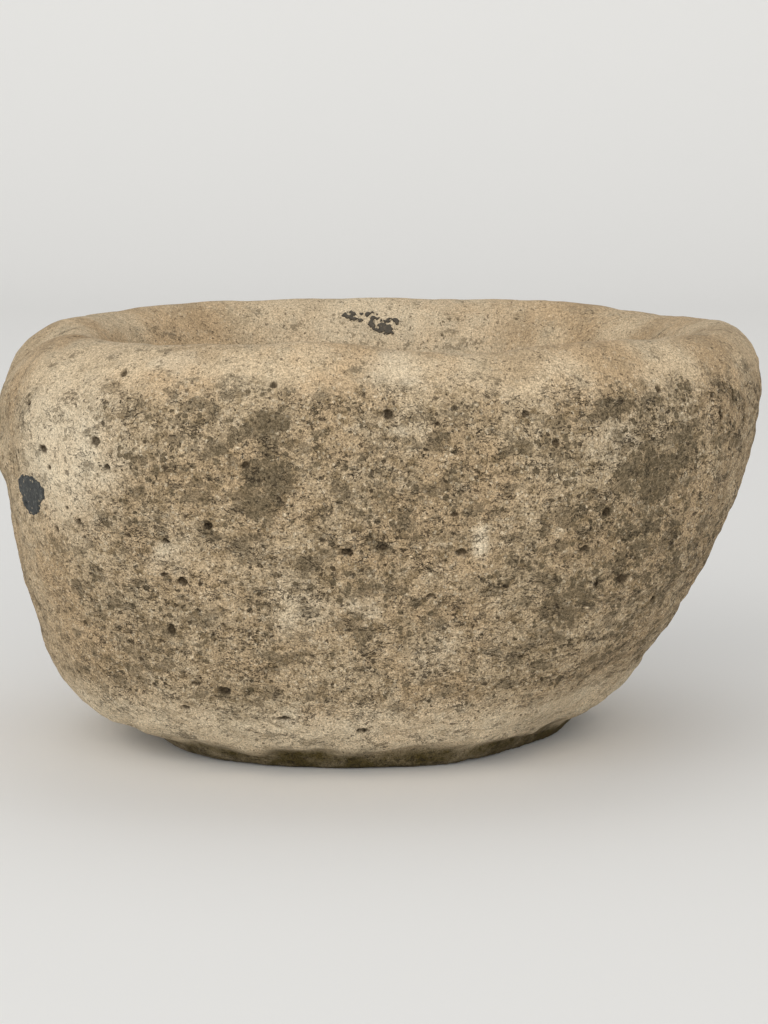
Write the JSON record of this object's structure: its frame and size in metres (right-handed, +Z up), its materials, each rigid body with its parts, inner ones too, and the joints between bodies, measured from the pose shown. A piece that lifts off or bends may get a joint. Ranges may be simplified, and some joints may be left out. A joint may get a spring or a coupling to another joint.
{
  "type": "stone mortar",
  "caption": "Heavy squarish mortar hewn from one block of shelly limestone, with a thick rounded rim, a deep hollow bowl, a low recessed foot and crusts of old bitumen.",
  "frame": {"origin": "on the ground under the middle of the block: the centre of the bounding box's lower face, in the plane of the flat underside", "axes": "+Z up out of the bowl, +X to the right along the longer side, -Y to the front, so the steeper end of the block is at -X"},
  "size_m": [0.3614, 0.3088, 0.2021],
  "materials": {
    "limestone": "matt, weathered, porous",
    "bitumen": "dull black crust with a slight sheen"
  },
  "bodies": {
    "root": {"mortar_block": "limestone", "bitumen_flank": "bitumen", "bitumen_bowl": "bitumen"}
  },
  "joints": []
}
